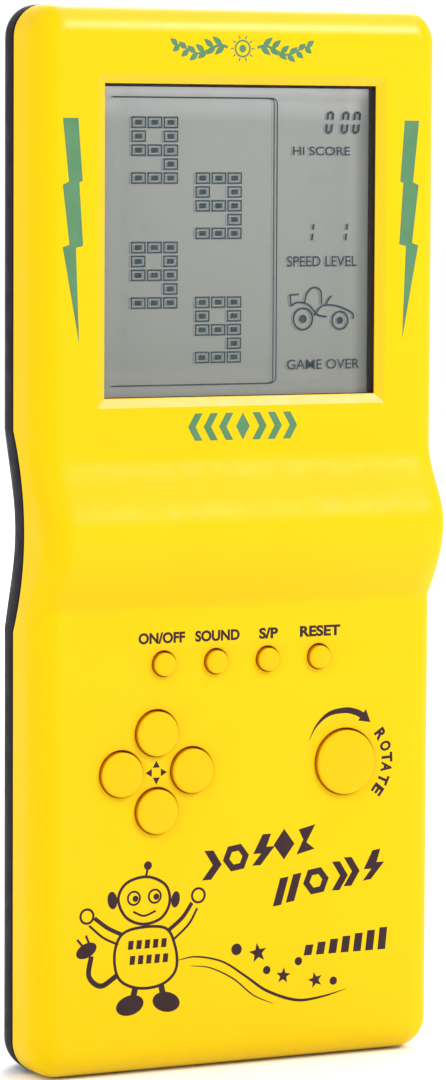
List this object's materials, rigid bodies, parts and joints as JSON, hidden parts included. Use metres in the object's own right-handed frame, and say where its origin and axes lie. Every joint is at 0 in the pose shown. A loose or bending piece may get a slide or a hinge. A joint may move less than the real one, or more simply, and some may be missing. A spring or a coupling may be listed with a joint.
{
  "type": "handheld lcd game",
  "caption": "Upright two-part handheld game case with a large grey display window, a raised finger roll across the waist, round sprung buttons and a battery door.",
  "frame": {"origin": "centre of the bounding box's base, on the plane the game stands on", "axes": "+Z towards the game's top, -Y the way its front faces, +X the player's right"},
  "size_m": [0.076, 0.0296, 0.18],
  "materials": {
    "yellow_shell": "glossy moulded ABS, signal yellow, satin on the flats",
    "dark_shell": "fine-textured moulded ABS, purple-black",
    "yellow_cap": "glossy moulded ABS, yellow",
    "black_frame": "matt black ABS",
    "clear_lens": "clear polished acrylic sheet",
    "lcd_glass": "grey reflective twisted-nematic display glass with dark segments",
    "reflector": "satin silver film",
    "silicone": "translucent grey silicone rubber with carbon pills",
    "elastomer": "layered conductive elastomer",
    "board": "green solder mask on paper-phenolic board",
    "epoxy": "poured black epoxy",
    "film": "amber flat film cable",
    "steel": "nickel-plated steel",
    "brass": "thin rolled brass",
    "piezo": "fired white piezo ceramic with silver electrode",
    "cell_wrap": "printed sleeve over a steel can, plain ends",
    "wire_red": "red PVC insulation",
    "wire_black": "black PVC insulation",
    "capacitor_sleeve": "dark shrink sleeve"
  },
  "bodies": {
    "case": {"front_shell": "yellow_shell", "back_shell": "dark_shell", "window_lens": "clear_lens", "display_frame": "black_frame", "lcd_panel": "lcd_glass", "lcd_reflector": "reflector", "zebra_strip": "elastomer", "display_board": "board", "key_board": "board", "chip_blob": "epoxy", "capacitor": "capacitor_sleeve", "ribbon_cable": "film", "function_mat": "silicone", "pad_mat": "silicone", "rotate_mat": "silicone", "buzzer_disc": "brass", "piezo_element": "piezo", "left_cell": "cell_wrap", "right_cell": "cell_wrap", "left_spring": "steel", "right_spring": "steel", "bridge_contact": "steel", "positive_contact": "steel", "negative_contact": "steel", "battery_wire_red": "wire_red", "buzzer_wire_red": "wire_red", "battery_wire_black": "wire_black", "buzzer_wire_black": "wire_black", "case_screw_top_left": "steel", "case_screw_top_right": "steel", "case_screw_waist_left": "steel", "case_screw_waist_right": "steel", "case_screw_bottom_left": "steel", "case_screw_bottom_right": "steel", "display_screw_1": "steel", "display_screw_2": "steel", "display_screw_3": "steel", "display_screw_4": "steel", "key_screw_1": "steel", "key_screw_2": "steel", "key_screw_3": "steel"},
    "door": {"battery_door": "dark_shell"},
    "up_key": {"up_button": "yellow_cap", "up_dome": "silicone"},
    "down_key": {"down_button": "yellow_cap", "down_dome": "silicone"},
    "left_key": {"left_button": "yellow_cap", "left_dome": "silicone"},
    "right_key": {"right_button": "yellow_cap", "right_dome": "silicone"},
    "rotate_key": {"rotate_button": "yellow_cap", "rotate_dome": "silicone"},
    "on_off_key": {"on_off_button": "yellow_cap", "on_off_dome": "silicone"},
    "sound_key": {"sound_button": "yellow_cap", "sound_dome": "silicone"},
    "start_pause_key": {"start_pause_button": "yellow_cap", "start_pause_dome": "silicone"},
    "reset_key": {"reset_button": "yellow_cap", "reset_dome": "silicone"}
  },
  "joints": [
    {"name": "door_hinge", "type": "hinge", "parent": "case", "child": "door", "pos_m": [0, 0.01475, 0.0123], "axis": [-1, 0, 0], "range_deg": [0, 75]},
    {"name": "up_press", "type": "slide", "parent": "case", "child": "up_key", "axis": [0, 1, 0], "range_m": [0, 0.0008], "stiffness_N_per_m": 700, "springref_m": -0.0005},
    {"name": "down_press", "type": "slide", "parent": "case", "child": "down_key", "axis": [0, 1, 0], "range_m": [0, 0.0008], "stiffness_N_per_m": 700, "springref_m": -0.0005},
    {"name": "left_press", "type": "slide", "parent": "case", "child": "left_key", "axis": [0, 1, 0], "range_m": [0, 0.0008], "stiffness_N_per_m": 700, "springref_m": -0.0005},
    {"name": "right_press", "type": "slide", "parent": "case", "child": "right_key", "axis": [0, 1, 0], "range_m": [0, 0.0008], "stiffness_N_per_m": 700, "springref_m": -0.0005},
    {"name": "rotate_press", "type": "slide", "parent": "case", "child": "rotate_key", "axis": [0, 1, 0], "range_m": [0, 0.0008], "stiffness_N_per_m": 900, "springref_m": -0.0005},
    {"name": "on_off_press", "type": "slide", "parent": "case", "child": "on_off_key", "axis": [0, 1, 0], "range_m": [0, 0.0008], "stiffness_N_per_m": 700, "springref_m": -0.0005},
    {"name": "sound_press", "type": "slide", "parent": "case", "child": "sound_key", "axis": [0, 1, 0], "range_m": [0, 0.0008], "stiffness_N_per_m": 700, "springref_m": -0.0005},
    {"name": "start_pause_press", "type": "slide", "parent": "case", "child": "start_pause_key", "axis": [0, 1, 0], "range_m": [0, 0.0008], "stiffness_N_per_m": 700, "springref_m": -0.0005},
    {"name": "reset_press", "type": "slide", "parent": "case", "child": "reset_key", "axis": [0, 1, 0], "range_m": [0, 0.0008], "stiffness_N_per_m": 700, "springref_m": -0.0005}
  ]
}
